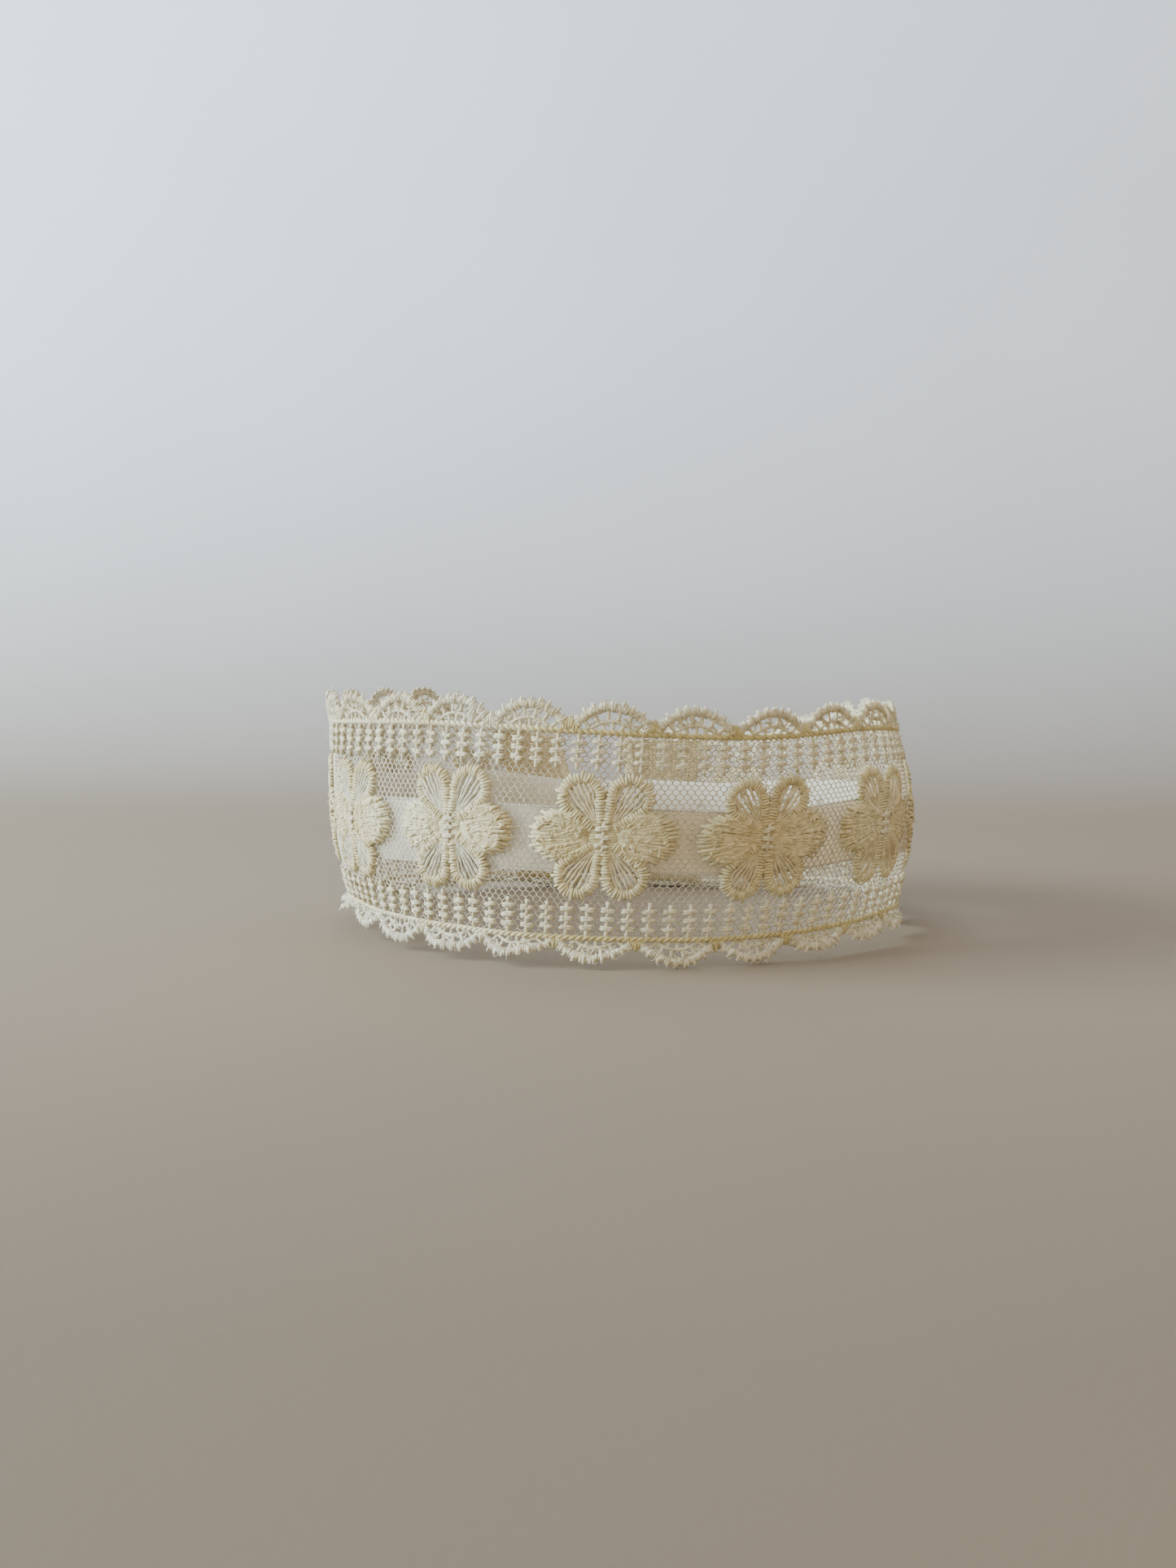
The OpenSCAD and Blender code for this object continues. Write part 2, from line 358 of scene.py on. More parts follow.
def full_petal(put, pad, angle, rng):
    """A filled petal: a low pad under stitches that fan from the flower's middle to a toothed edge."""
    spread = np.linspace(-1, 1, 21)
    s = np.linspace(0, 1, 9)

    def spot(t, share, radius):
        """A place t across the petal, from -1 to 1, and a share of the way from its foot to its rim."""
        a = np.radians(FAN * t)
        foot = np.stack([np.full_like(t, 1.9), 1.35 * t], -1)
        rim = np.stack([SIDE_REACH + radius * np.cos(a), radius * np.sin(a)], -1)
        bow = np.sin(PI * share)[..., None] * np.stack([0 * t, 0.9 * t * np.abs(t)], -1)
        return foot + (rim - foot) * share[..., None] + bow

    grid_t, grid_s = np.meshgrid(spread, s, indexing="ij")
    flat = spot(grid_t, grid_s, SIDE_R - 0.45)
    dome = (1 - grid_t**4) * np.sin(PI * (0.12 + 0.88 * grid_s)) ** 0.6
    flat = turned(flat, angle)
    pad(with_depth(flat, 0.06 + 0.4 * dome), with_depth(flat, 0.03))

    count = 22
    t = np.linspace(-1, 1, count) + rng.uniform(-0.03, 0.03, count)
    share = np.array([0.0, 0.16, 0.38, 0.6, 0.82, 1.0])
    tt, ss = np.meshgrid(t, share, indexing="ij")
    tooth = 0.45 * (np.arange(count) % 2) + rng.uniform(-0.15, 0.15, count)
    flat = spot(tt, ss, SIDE_R - 0.2 + tooth[:, None] * (ss > 0.9))
    rise = np.array([0.25, 0.5, 0.62, 0.66, 0.55, 0.06]) * rng.uniform(0.88, 1.06, (count, 1))
    width = np.array([0.14, 0.21, 0.29, 0.34, 0.36, 0.26])
    put(with_depth(turned(flat, angle), rise), width, 0.2)

    loose = 90
    t0 = rng.uniform(-0.92, 0.92, loose)
    s0 = rng.uniform(0.15, 0.84, loose)
    run = rng.uniform(0.06, 0.14, loose)
    ss = s0[:, None] + run[:, None] * np.array([0, 0.25, 0.5, 0.75, 1.0])
    tt = t0[:, None] + rng.uniform(-0.09, 0.09, (loose, 1)) * np.array([-1, -0.5, 0, 0.5, 1])
    flat = spot(tt, ss, SIDE_R - 0.4)
    rise = rng.uniform(0.52, 0.68, (loose, 1)) + 0.2 * np.array([-0.6, 0.6, 1.0, 0.6, -0.6])
    put(with_depth(turned(flat, angle), rise), 0.2, 0.15)


def flower(i, threads):
    """One flower. The loose threads inside its petals go to threads."""
    rng = np.random.default_rng(100 + i)
    piece = Piece()
    shift = np.array([flower_at(i), MID, 0])
    tilt = rng.uniform(-0.03, 0.03)

    def place(points):
        flat = turned(points[..., :2], tilt)
        return np.concatenate([flat, points[..., 2:]], -1) + shift

    def put(paths, w, h=None):
        piece.tubes(place(paths), w, h)

    def put_thread(paths, w, h=None):
        threads.tubes(place(paths), w, h)

    def pad(top, bottom):
        piece.pillow(place(top), place(bottom))

    for side in (0, PI):
        full_petal(put, pad, side, rng)
    for angle in (PETAL_TURN, PI - PETAL_TURN, PI + PETAL_TURN, -PETAL_TURN):
        open_petal(put, put_thread, angle, rng)
    for x, half in ((-1.3, 3.0), (0, 3.3), (1.3, 3.0)):
        column = np.array([[x, -half], [x, half]])
        stitches = satin(column, 1.15, 0.58 - 0.1 * (x == 0), rng, pitch=0.44, base=0.2)
        put(stitches, SATIN_W, 0.18)
    return piece.fuzz(190, 300 + i)


# ---------------------------------------------------------------- scallops, ladders and the bars in the flowers
FOOT_SPAN = SCALLOP_PITCH - 0.42
SCALLOP_H = LACE_TOP - MID - NET_HALF - 0.55
RIB_R = ((FOOT_SPAN / 2) ** 2 + SCALLOP_H**2) / 2 / SCALLOP_H
RIB_Y = NET_HALF + SCALLOP_H - RIB_R


def edge_put(piece, side, shift):
    """Puts threads on the upper edge (side 1) or mirrored on the lower edge (side -1)."""

    def put(paths, w, h=None, **more):
        paths = np.array(paths, float)
        paths[..., 0] += shift
        paths[..., 1] = MID + side * paths[..., 1]
        piece.tubes(paths, w, h, **more)

    return put


def scallop(put, rng, stray):
    outer, middle = RIB_R - 0.45, RIB_R - 2.7

    def ray(angle, radius):
        a = math.radians(angle)
        return [radius * math.sin(a), RIB_Y + radius * math.cos(a)]

    reach = math.degrees(math.acos((NET_HALF - RIB_Y) / outer)) + 1
    picot = math.radians(12) * outer
    line = np.array([ray(a, outer) for a in np.linspace(-reach, reach, 40)])
    half_run = math.radians(reach) * outer

    def picots(s):
        return teeth(s - half_run, picot, 0.66, 2.2)

    put(with_depth(line[None, ::2], 0.3), 0.42, 0.24)
    put(satin(line, 0.6, 0.74, rng, pitch=0.4, reach=picots), SATIN_W, 0.19)

    mid_reach = math.degrees(math.acos((NET_HALF - RIB_Y) / middle)) + 2
    for twist in (0, PI):
        a = np.linspace(-mid_reach, mid_reach, 22)
        line = np.array([ray(x, middle) for x in a])
        wave = 0.1 * np.cos(np.arange(22) * 1.1 + twist)
        line[:, 1] += wave
        put(with_depth(line[None], 0.3 + 0.1 * np.sin(np.arange(22) * 1.1 + twist)), 0.27)

    def spokes(angles, inner, end):
        for angle in angles:
            angle = angle + rng.uniform(-1.2, 1.2)
            t = np.linspace(0, 1, 6)
            line = np.array([ray(angle + 1.5 * math.sin(PI * x), inner + (end - inner) * x) for x in t])
            width = 0.29 + 0.1 * np.array([1, 0.2, 0.5, 0.1, 0.5, 1])
            put(with_depth(line[None], 0.32), width, 0.22)

    for _ in range(stray):
        side, turn = rng.choice((-1, 1)), rng.uniform(5, 50)
        start = ray(side * turn, rng.uniform(middle, outer))
        end = ray(side * (turn - 14), rng.uniform(middle - 1, outer))
        line = np.linspace(start, end, 5) + rng.uniform(-0.16, 0.16, (5, 2))
        put(with_depth(line[None], 0.3), 0.18)
    spokes(range(-45, 46, 18), middle, outer)
    base = NET_HALF - RIB_Y - 0.2
    for angle in (-21, 0, 21):
        spokes([angle], base / math.cos(math.radians(angle)), middle)


def scallops(side):
    piece = Piece()
    for i in range(SCALLOPS):
        rng = np.random.default_rng(1000 * (side + 3) + i)
        scallop(edge_put(piece, side, centred(i, SCALLOPS, SCALLOP_PITCH)), rng, 10 if side > 0 else 14)
    return piece.fuzz(3600, 400 + side)


RUNG_PITCH = 1.55


def rung(put, y, rng, half=1.06, lift=0.44):
    """A thick bar of a few stitches laid over each other, a little askew on each side of the stem."""
    for side in (-1, 1):
        step = rng.uniform(-0.16, 0.16)
        for k in (-1, 0, 1):
            x = side * np.linspace(-0.15, half + rng.uniform(-0.14, 0.16), 5)
            lean = rng.uniform(-0.14, 0.14)
            path = np.stack([x, y + step + 0.18 * k + lean * x, lift + rng.uniform(-0.06, 0.06) + 0 * x], 1)
            path[-1, 2] = lift - 0.3
            put(path[None], np.array([0.2, 0.24, 0.27, 0.26, 0.17]), 0.22)


def stem(put, low, high, rng, yarn, lift=0.26):
    for twist in (0, PI):
        t = np.linspace(0, 1, 10)
        phase = t * (high - low) / 1.5 * PI + twist + rng.uniform(0, 0.4)
        path = np.stack([0.12 * np.cos(phase), low + (high - low) * t, lift + 0.08 * np.sin(phase)], 1)
        put(path[None], yarn)


def ladders(side):
    piece = Piece()
    centre = (LADDER_LOW + LADDER_HIGH) / 2
    for i in range(LADDERS):
        rng = np.random.default_rng(5000 * (side + 3) + i)
        put = edge_put(piece, side, centred(i, LADDERS, LADDER_PITCH) + rng.uniform(-0.12, 0.12))
        stem(put, LADDER_LOW + rng.uniform(-0.3, 0.3), LADDER_HIGH + 0.4, rng, 0.3)
        for k in (-1, 0, 1):
            rung(put, centre + k * RUNG_PITCH + rng.uniform(-0.1, 0.1), rng)
    return piece.fuzz(700, 500 + side)


def flower_bars():
    piece = Piece()
    for i in range(len(FLOWERS)):
        rng = np.random.default_rng(9000 + i)
        put = edge_put(piece, 1, flower_at(i))
        stem(put, -2.5, 2.5, rng, 0.22, 0.72)
        for k in (-1, 0, 1):
            rung(put, k * 1.5, rng, 1.15, 0.86)
    return piece


def cord(side):
    """Two plies twisted round each other, along the foot of a row of scallops."""
    piece = Piece()
    put = edge_put(piece, side, 0)
    turns = round(2 * LACE_END / 2.3)
    count = turns * 9
    u = np.linspace(-LACE_END, LACE_END, count)
    for ply in (0, PI):
        phase = np.linspace(0, 2 * PI * turns, count) + ply
        path = np.stack([u, CORD_Z + 0.26 * np.cos(phase), 0.3 + 0.22 * np.sin(phase)], 1)
        put(path[None], 0.34)
    rng = np.random.default_rng(600 + side)
    for i in range(SCALLOPS + 1):
        valley = centred(i, SCALLOPS + 1, SCALLOP_PITCH)
        for x in np.arange(-1.3, 1.4, 0.42):
            top = NET_HALF + 1.9 - 1.1 * abs(x) + rng.uniform(-0.25, 0.25)
            y = np.linspace(NET_HALF - 0.7, top, 5)
            along = np.clip(valley + x + rng.uniform(-0.1, 0.1), -LACE_END, LACE_END)
            put(np.stack([along + 0 * y, y, [0.2, 0.6, 0.72, 0.55, 0.1]], 1)[None], 0.25, 0.19)
    return piece.fuzz(420, 700 + side)


def binding(side):
    """Whipped stitches round the cut end of the net."""
    piece = Piece()
    rng = np.random.default_rng(70 + side)
    loop = np.array(
        [[-1.45, 0.06], [-0.8, 0.5], [0.0, 0.42], [0.28, -0.1], [-0.1, -0.42], [-0.9, -0.44], [-1.5, -0.3]]
    )
    half = CORD_Z - CORD_D / 2
    z = np.arange(-half + 0.25, half, 0.43)
    paths = np.zeros((len(z), len(loop), 3))
    paths[..., 0] = side * (LACE_END + loop[:, 0] + rng.uniform(-0.1, 0.1, (len(z), 1)) * (loop[:, 0] < -1))
    paths[..., 1] = MID + z[:, None] + np.linspace(-0.1, 0.1, len(loop))
    paths[..., 2] = loop[:, 1]
    piece.tubes(paths, 0.19, normal=(0, 1, 0), closed=True)
    return piece.fuzz(90, 800 + side)


# ---------------------------------------------------------------- the net
CELL, ROW, RISE, NET_YARN = 1.26, 0.83, 0.24, 0.12


def net():
    """A hexagonal ground: zigzag threads along the band, tied to each other by short upright ones."""
    piece = Piece()
    rng = np.random.default_rng(3)
    rows = int((2 * NET_HALF - 0.5) / ROW) + 1
    columns = int(2 * LACE_END / (CELL / 2)) + 1
    u = np.linspace(-LACE_END, LACE_END, columns)
    z0 = MID - (rows - 1) * ROW / 2
    j, k = np.meshgrid(np.arange(rows), np.arange(columns), indexing="ij")
    high = (j + k) % 2 == 0
    along = u[k] + rng.normal(0, 0.035, k.shape)
    up = z0 + j * ROW + np.where(high, RISE, -RISE) + rng.normal(0, 0.03, k.shape)
    sway = 0.12 * np.sin(u[k] * 0.5 + 0.9 * np.sin(j * 0.3)) + 0.1 * np.sin(j * 0.45 + u[k] * 0.11)
    depth = np.full(k.shape, -0.13)
    points = np.stack([along + sway * 0.4, up + sway * 0.5, depth], -1)
    piece.tubes(points, NET_YARN, sides=3, caps=False)
    ties = high[:-1]
    low_end, high_end = points[:-1][ties], points[1:][ties]
    piece.tubes(np.stack([low_end, high_end], 1), NET_YARN * 1.15, sides=3, caps=False)
    return piece


HEM_W, HEM_ROW, HEM_COLUMN, HEM_D = 15.4, 0.36, 0.8, -0.34


def hems():
    """The cut ends of the net, folded in and pressed flat: close threads both ways, and a row of stitches."""
    piece = Piece()
    rng = np.random.default_rng(21)
    half = NET_HALF - 0.6
    rows = int(2 * half / HEM_ROW)
    for side in (-1, 1):
        z = MID + np.linspace(-half, half, rows) + rng.uniform(-0.04, 0.04, rows)
        along = np.linspace(LACE_END - 0.2, LACE_END - HEM_W, 25)
        u = side * (along[None] + rng.uniform(-0.3, 0.1, (rows, 1)) * np.linspace(0, 1, 25))
        up = z[:, None] + 0.07 * np.sin(along[None] * 1.9 + rng.uniform(0, 2 * PI, (rows, 1)))
        piece.tubes(np.stack([u, up, np.full(u.shape, HEM_D)], -1), 0.15, sides=3, caps=False)
        for x in np.arange(0.6, HEM_W, HEM_COLUMN):
            z = np.linspace(-half, half, 60) + MID
            u = side * (LACE_END - x) + 0.1 * np.sin(z * 3.9 + x)
            piece.tubes(np.stack([u, z, np.full(60, HEM_D)], 1)[None], 0.1, sides=3)
        z = MID + np.arange(-half + 0.4, half, 0.95)
        path = np.zeros((len(z), 5, 3))
        path[..., 0] = side * (LACE_END - HEM_W + 0.7) + rng.uniform(-0.15, 0.15, (len(z), 1))
        path[..., 1] = z[:, None] + np.linspace(-0.36, 0.36, 5)
        path[..., 2] = np.array([-0.3, 0.0, 0.06, 0.0, -0.3])
        piece.tubes(path, 0.14)
    return piece


# ---------------------------------------------------------------- the ribbon
OVERLAP = math.asin(node_box("ribbon_seam_stitches")[1][0] / NET_R) + 1.0 / NET_R
RIBBON_RUN = np.linspace(-PI - OVERLAP, PI + OVERLAP, 620)


def ribbon_depth(theta, y):
    """How far out the ribbon lies: against the net at each flower, where it is tacked, and slack between them."""
    slack = 0.32 * (1 - np.cos(PLACES * theta)) * (0.75 + 0.25 * np.sin(3 * theta + 1))
    roll = 0.12 * np.sin(7 * theta + 0.5) * y / RIBBON_W
    outer = 0.32 * ramp(PI - OVERLAP - 0.05, PI - OVERLAP, theta)
    return RIBBON_D - slack + roll + outer


def ribbon_edge(theta):
    """The ribbon isn't quite level, so its edges rise and fall a little."""
    return 0.28 * np.sin(2 * theta + 0.6) + 0.16 * np.sin(5 * theta + 2) + 0.1 * np.sin(9 * theta) - 1.0


def ribbon():
    piece = Piece()
    y = np.linspace(-0.5, 0.5, 15) * RIBBON_W
    tt, yy = np.meshgrid(RIBBON_RUN, y, indexing="ij")
    d = ribbon_depth(tt, yy)
    place = np.stack([tt * NET_R, MID + yy + ribbon_edge(tt), d], -1)
    thick = np.array([0, 0, 0.07])
    piece.pillow(place + thick, place - thick)
    return piece


def selvedges():
    piece = Piece()
    for side in (-1, 1):
        y = side * (RIBBON_W / 2 - 0.12)
        height = MID + y + ribbon_edge(RIBBON_RUN)
        line = np.stack([RIBBON_RUN * NET_R, height, ribbon_depth(RIBBON_RUN, y)], 1)
        piece.tubes(line[None] + np.array([0, 0, 0.08]), 0.2, 0.17, sides=8)
    return piece


def sewn(centres, half, inside, outside, yarn, rng):
    """Upright loops of thread that go in and out through the layers."""
    piece = Piece()
    corners = np.array([[-1, 0], [-1, 1], [-0.6, 1.12], [0.6, 1.12], [1, 1], [1, 0], [0.6, -0.12], [-0.6, -0.12]])
    for u, z in centres:
        deep = inside(u)
        lean = rng.uniform(-0.12, 0.12)
        path = np.zeros((len(corners), 3))
        path[:, 0] = u + lean * corners[:, 0]
        path[:, 1] = z + half * corners[:, 0]
        path[:, 2] = deep + (outside(u) - deep) * corners[:, 1]
        piece.tubes(path[None], yarn, normal=(1, 0, 0), closed=True)
    return piece


def under_ribbon(u):
    return float(ribbon_depth(np.array(u / NET_R), 0.0)) - 0.2


def tacks():
    rng = np.random.default_rng(11)
    centres = []
    for i in range(len(FLOWERS)):
        centres += [(flower_at(i) + x, MID) for x in (-4.4, 4.4)]
    return sewn(centres, 0.7, under_ribbon, lambda u: 0.2, 0.16, rng)


def seam():
    rng = np.random.default_rng(12)
    row = OVERLAP * NET_R - 1.2
    z = MID + (np.arange(5) - 2) * (RIBBON_W - 1.2) / 5
    back = PI * NET_R
    centres = [(back + x, v + ribbon_edge(PI)) for x in (-row, row) for v in z]

    def on_flap(u):
        return RIBBON_D + 0.42

    def below_flap(u):
        return RIBBON_D - 0.2

    return sewn(centres, 0.6, below_flap, on_flap, 0.15, rng)


# ---------------------------------------------------------------- materials
class Look:
    """A node material. Object coordinates are in metres."""

    def __init__(self, name):
        self.material = bpy.data.materials.new(name)
        self.material.use_nodes = True
        self.tree = self.material.node_tree
        self.tree.nodes.clear()
        self.where = self.add("TexCoord").outputs["Object"]

    def add(self, kind, inputs=None, **settings):
        """Makes a node. Each input is a value for its socket, or a socket to link to it."""
        node = self.tree.nodes.new("ShaderNode" + kind)
        for name, value in settings.items():
            setattr(node, name, value)
        for name, value in (inputs or {}).items():
            if isinstance(value, bpy.types.NodeSocket):
                self.tree.links.new(value, node.inputs[name])
            else:
                node.inputs[name].default_value = value
        return node

    def noise(self, scale, detail=2.0, rough=0.5):
        inputs = {"Vector": self.where, "Scale": scale, "Detail": detail, "Roughness": rough}
        return self.add("TexNoise", inputs).outputs["Fac"]

    def axes(self):
        return self.add("SeparateXYZ", {0: self.where}).outputs

    def math(self, kind, a, b=0.0):
        return self.add("Math", {0: a, 1: b}, operation=kind).outputs[0]

    def share(self, value, low, high, **settings):
        """0 below low and 1 above high."""
        inputs = {"Value": value, "From Min": low, "From Max": high}
        return self.add("MapRange", inputs, **settings).outputs["Result"]

    def two_tone(self, factor, first, second, low=0.3, high=0.7):
        node = self.add("ValToRGB", {"Fac": factor})
        for stop, place, colour in zip(node.color_ramp.elements, (low, high), (first, second)):
            stop.position = place
            stop.color = (*colour, 1)
        return node.outputs["Color"]

    def multiply(self, a, b):
        inputs = {"Factor": 1.0, "A": a, "B": b}
        return self.add("Mix", inputs, data_type="RGBA", blend_type="MULTIPLY").outputs["Result"]

    def bump(self, height, strength, distance):
        inputs = {"Height": height, "Strength": strength, "Distance": distance}
        return self.add("Bump", inputs).outputs["Normal"]

    def mix(self, share, first, second):
        return self.add("MixShader", {"Fac": share, 1: first, 2: second}).outputs[0]

    def glowing(self, glow, colour, normal, surface):
        """A surface that lets some light through. What surface gives is the same all over."""
        main = self.add("BsdfPrincipled", {"Base Color": colour, "Normal": normal, **surface}).outputs[0]
        through = self.add("BsdfTranslucent", {"Color": colour}).outputs[0]
        return self.mix(glow, main, through)

    def done(self, surface):
        self.add("OutputMaterial", {"Surface": surface})
        return self.material

    def painted_right_shade(self, colour, tint, low=0.025, high=0.05):
        """Painted shade: darkens and warms a colour towards the front right of the band, the side the light
        leaves in shade.
        """
        axes = self.axes()
        share = self.share(self.math("SUBTRACT", axes["X"], axes["Y"]), low, high)
        return self.multiply(colour, self.two_tone(share, (1, 1, 1), tint, 0.0, 1.0))


def yarn_look(name, pale, deep, glow=0.2, sheen=0.35, roughness=0.62, twist=1400.0, right_shade=None):
    """Cotton thread: fine plies, fibres, uneven tint, and a little light through it."""
    look = Look(name)
    colour = look.two_tone(look.noise(55, 3), deep, pale, 0.3, 0.62)
    speckle = look.two_tone(look.noise(900), (0.76, 0.74, 0.68), (1, 1, 1), 0.35, 0.58)
    colour = look.multiply(colour, speckle)
    # right_shade is painted shade: a darker, warmer tint towards the front right of the band.
    if right_shade:
        colour = look.painted_right_shade(colour, right_shade)
    wave = {"Vector": look.where, "Scale": twist, "Distortion": 2.5, "Detail": 2.0, "Detail Scale": 1.5}
    plies = look.add("TexWave", wave, wave_type="BANDS", bands_direction="DIAGONAL").outputs["Fac"]
    fibre = look.noise(5200, 2, 0.7)
    height = look.math("ADD", plies, look.math("MULTIPLY", fibre, 0.7))
    surface = {"Roughness": roughness, "Sheen Weight": sheen, "Sheen Roughness": 0.4, "Specular IOR Level": 0.35}
    return look.done(look.glowing(glow, colour, look.bump(height, 0.5, 0.00006), surface))


WEFT_TURNS, WARP_PER_M = 1100.0, 21000.0


def ribbon_look():
    """Sheer plain weave: fine threads both ways, with light between them."""
    look = Look("sheer_ribbon")
    axes = look.axes()
    turn = look.math("ARCTAN2", axes["X"], axes["Y"])
    weft = look.math("SINE", look.math("MULTIPLY", turn, WEFT_TURNS))
    warp = look.math("SINE", look.math("MULTIPLY", axes["Z"], WARP_PER_M))
    weave = look.math("MULTIPLY", look.math("ADD", weft, warp), 0.25)
    weave = look.math("ADD", weave, 0.5)
    colour = look.two_tone(look.noise(70, 3), (0.94, 0.89, 0.75), (1.0, 0.98, 0.9))
    # Painted shade: the ribbon darkens and warms towards the front right of the band.
    colour = look.painted_right_shade(colour, (0.95, 0.89, 0.78), 0.045, 0.062)
    thread = look.two_tone(weave, (0.88, 0.87, 0.85), (1, 1, 1), 0.2, 0.8)
    colour = look.multiply(colour, thread)
    surface = {"Roughness": 0.42, "Sheen Weight": 0.5, "Specular IOR Level": 0.5}
    cloth = look.glowing(0.35, colour, look.bump(weave, 0.35, 0.00005), surface)
    cover = look.math("ADD", look.math("MULTIPLY", weave, 0.2), 0.74)
    clear = look.add("BsdfTransparent").outputs[0]
    return look.done(look.mix(cover, clear, cloth))


# The last tint given to a yarn, right_shade, is painted shade towards the front right of the band.
satin_yarn = yarn_look("satin_yarn", (0.93, 0.85, 0.57), (0.82, 0.69, 0.39), right_shade=(0.96, 0.96, 0.92))
pale_yarn = yarn_look("pale_yarn", (0.95, 0.92, 0.78), (0.92, 0.86, 0.66), glow=0.3, right_shade=(0.95, 0.88, 0.72))
ladder_yarn = yarn_look("ladder_yarn", (0.94, 0.89, 0.68), (0.86, 0.77, 0.53), right_shade=(0.98, 0.97, 0.95))
scallop_yarn = yarn_look(
    "scallop_yarn", (0.96, 0.92, 0.75), (0.89, 0.81, 0.58), glow=0.25, right_shade=(0.96, 0.94, 0.86)
)
# Painted light: the lower scallops get a paler copy of the scallop yarn, to lift the shade they lie in.
lit_low_scallop_yarn = yarn_look(
    "lit_low_scallop_yarn", (0.99, 0.96, 0.84), (0.94, 0.88, 0.7), glow=0.3, right_shade=(0.98, 0.96, 0.87)
)
cord_yarn = yarn_look(
    "cord_yarn", (0.96, 0.9, 0.7), (0.88, 0.77, 0.5), glow=0.15, twist=1000.0, right_shade=(0.76, 0.71, 0.47)
)
net_yarn = yarn_look(
    "net_yarn", (0.93, 0.86, 0.7), (0.83, 0.74, 0.56), glow=0.25, sheen=0.2, right_shade=(0.97, 0.94, 0.9)
)
# Painted shade: the hem is the net's cream yarn made darker and more golden, for the back ends of the band that
# sit in shade.
shaded_hem_yarn = yarn_look("shaded_hem_yarn", (0.84, 0.71, 0.4), (0.73, 0.59, 0.3), glow=0.35, sheen=0.2)
sewing_yarn = yarn_look("sewing_yarn", (0.88, 0.85, 0.76), (0.8, 0.76, 0.66), sheen=0.5, roughness=0.45)
# Painted highlight: the selvedge yarn is made paler so that the ribbon's edges show as a bright line.
selvedge_yarn = yarn_look("selvedge_yarn", (0.96, 0.94, 0.87), (0.9, 0.87, 0.78), sheen=0.4, roughness=0.5)


# ---------------------------------------------------------------- the pieces
ribbon_cloth = ribbon().make("ribbon_cloth", ribbon_look(), "sheer_ribbon", "ribbon")
ribbon_edges = selvedges().make("ribbon_selvedges", selvedge_yarn, "sheer_ribbon")
net_cells = net().make("net_cells", net_yarn, "net", "net_ground")
petal_threads = Piece()
for index, node in enumerate(FLOWERS):
    flower(index, petal_threads).make(f"{node}_stitches", satin_yarn, "embroidery", node)
petal_threads.make("petal_threads", pale_yarn, "embroidery")
flower_bars().make("flower_centre_bars", ladder_yarn, "embroidery", "flower_centres")
for word, side, look in (("upper", 1, scallop_yarn), ("lower", -1, lit_low_scallop_yarn)):
    scallops(side).make(f"{word}_scallop_stitches", look, "embroidery", f"{word}_scallops")
    ladders(side).make(f"{word}_ladder_bars", ladder_yarn, "embroidery", f"{word}_ladders")
    cord(side).make(f"{word}_cord_plies", cord_yarn, "cord", f"{word}_cord")
hems().make("folded_hem_net", shaded_hem_yarn, "net")
for word, side in (("left", -1), ("right", 1)):
    binding(side).make(f"{word}_binding_stitches", satin_yarn, "embroidery", f"{word}_end_binding")
tacks().make("ribbon_tack_loops", sewing_yarn, "sewing_thread", "ribbon_tacks")
seam().make("ribbon_seam_loops", sewing_yarn, "sewing_thread", "ribbon_seam_stitches")

# ---------------------------------------------------------------- floor, light and camera
def floor_look():
    """A floor and wall, dark and warm near the front with painted shade, growing pale and cool up the wall."""
    look = Look("floor_with_painted_shade")
    axes = look.axes()
    # Painted shade: the colour runs from dark warm brown at the front to pale up the wall.
    run = look.share(look.math("ADD", axes["Y"], axes["Z"]), 0.17, 1.12, interpolation_type="SMOOTHSTEP")
    base = look.two_tone(run, (0.212, 0.163, 0.11), (0.87, 0.92, 1.0), 0.0, 1.0)
    # Painted shade: a further darkening nearest the front.
    near = look.share(axes["Y"], -0.22, -0.09)
    base = look.multiply(base, look.two_tone(near, (0.76, 0.75, 0.74), (1, 1, 1), 0.0, 1.0))
    base = look.multiply(base, look.two_tone(look.noise(9, 3), (0.96, 0.96, 0.96), (1, 1, 1)))
    grain = look.bump(look.noise(900), 0.15, 0.0002)
    surface = {"Base Color": base, "Normal": grain, "Roughness": 0.85}
    return look.done(look.add("BsdfPrincipled", surface).outputs[0])


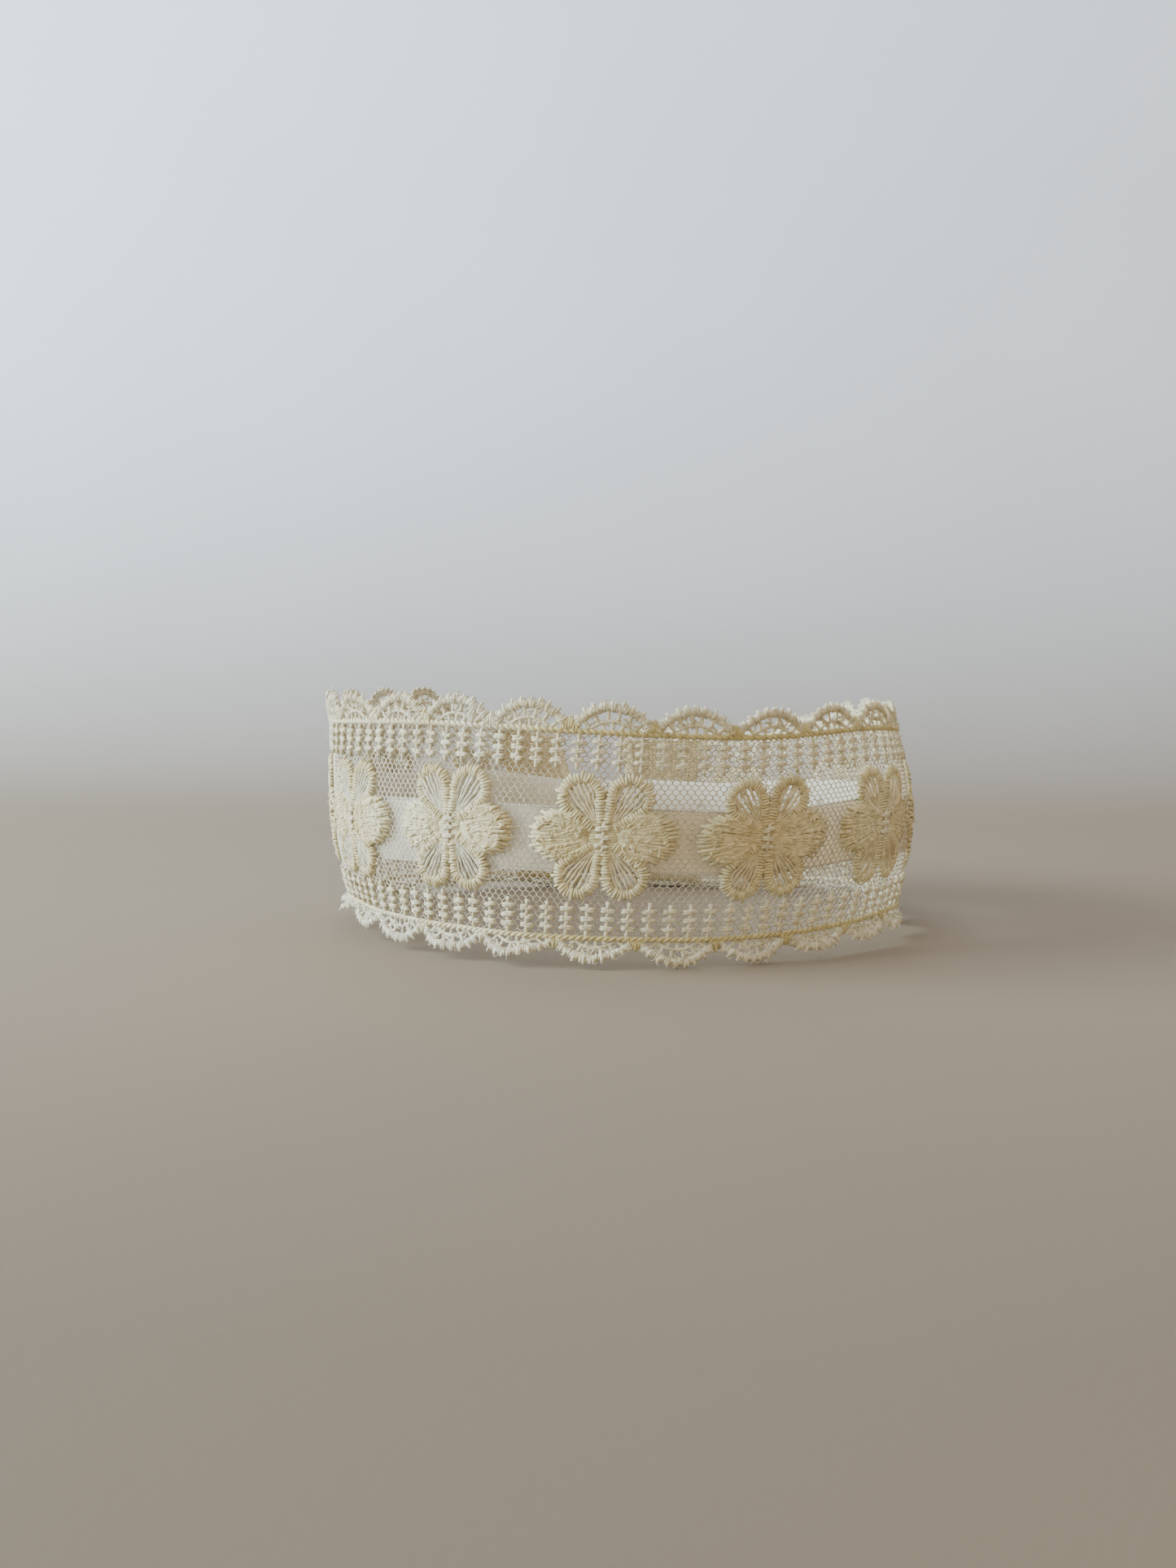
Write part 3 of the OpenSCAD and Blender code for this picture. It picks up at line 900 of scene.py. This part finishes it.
def backdrop():
    """A plain floor that curves up into a wall behind the object."""
    near, far, rise, radius, width = -1.2, 0.62, 1.6, 0.3, 2.4
    profile = [(near, 0.0), (far - radius, 0.0)]
    for i in range(1, 17):
        a = i / 16 * PI / 2
        profile.append((far - radius + radius * math.sin(a), radius - radius * math.cos(a)))
    profile.append((far, rise))
    mesh = bpy.data.meshes.new("backdrop")
    points = [(x, y, z) for y, z in profile for x in (-width / 2, width / 2)]
    faces = [(2 * i, 2 * i + 1, 2 * i + 3, 2 * i + 2) for i in range(len(profile) - 1)]
    mesh.from_pydata(points, [], faces)
    mesh.polygons.foreach_set("use_smooth", [True] * len(faces))
    mesh.materials.append(floor_look())
    obj = bpy.data.objects.new("backdrop", mesh)
    bpy.context.scene.collection.objects.link(obj)


def lamp(name, place, aim, size, power, colour):
    data = bpy.data.lights.new(name, "AREA")
    data.shape = "RECTANGLE"
    data.size, data.size_y = size
    data.energy = power
    data.color = colour
    obj = bpy.data.objects.new(name, data)
    bpy.context.scene.collection.objects.link(obj)
    obj.location = place
    obj.rotation_euler = direction(place, aim)


def direction(place, aim):
    x, y, z = (a - p for a, p in zip(aim, place))
    return (math.atan2(math.hypot(x, y), -z), 0, math.atan2(-x, y))


backdrop()
lamp("window", (-0.95, -0.12, 0.34), (0, 0, 0.02), (0.8, 0.8), 34, (0.77, 0.92, 1.0))
lamp("sky", (0.0, 0.2, 1.3), (0, 0.1, 0), (1.6, 1.6), 14, (0.94, 0.96, 1.0))
lamp("front", (-0.4, -1.0, 0.6), (0, 0, 0.02), (0.9, 0.9), 4.6, (1.0, 0.9, 0.7))
lamp("room", (0.8, -0.6, 0.35), (0, 0, 0.02), (0.8, 0.8), 3.4, (1.0, 0.73, 0.4))

world = bpy.data.worlds.new("room")
world.use_nodes = True
world.node_tree.nodes["Background"].inputs["Color"].default_value = (0.9, 0.92, 1.0, 1)
world.node_tree.nodes["Background"].inputs["Strength"].default_value = 0.31
bpy.context.scene.world = world

# The camera looks past the loop's middle, which is a little right of the picture's centre and below it
LENS = 41.57
DISTANCE, EYE_HEIGHT = 0.357, 0.056
ORBIT, PAN, PITCH = (math.radians(a) for a in (2.7, 0.966, 4.625))
camera_data = bpy.data.cameras.new("camera")
camera_data.sensor_fit = "VERTICAL"
camera_data.sensor_height = 36
camera_data.lens = LENS
camera_data.clip_start = 0.01
camera = bpy.data.objects.new("camera", camera_data)
bpy.context.scene.collection.objects.link(camera)
camera.location = (DISTANCE * math.sin(ORBIT), -DISTANCE * math.cos(ORBIT), EYE_HEIGHT)
camera.rotation_euler = (PI / 2 - PITCH, 0, ORBIT + PAN)
bpy.context.scene.camera = camera
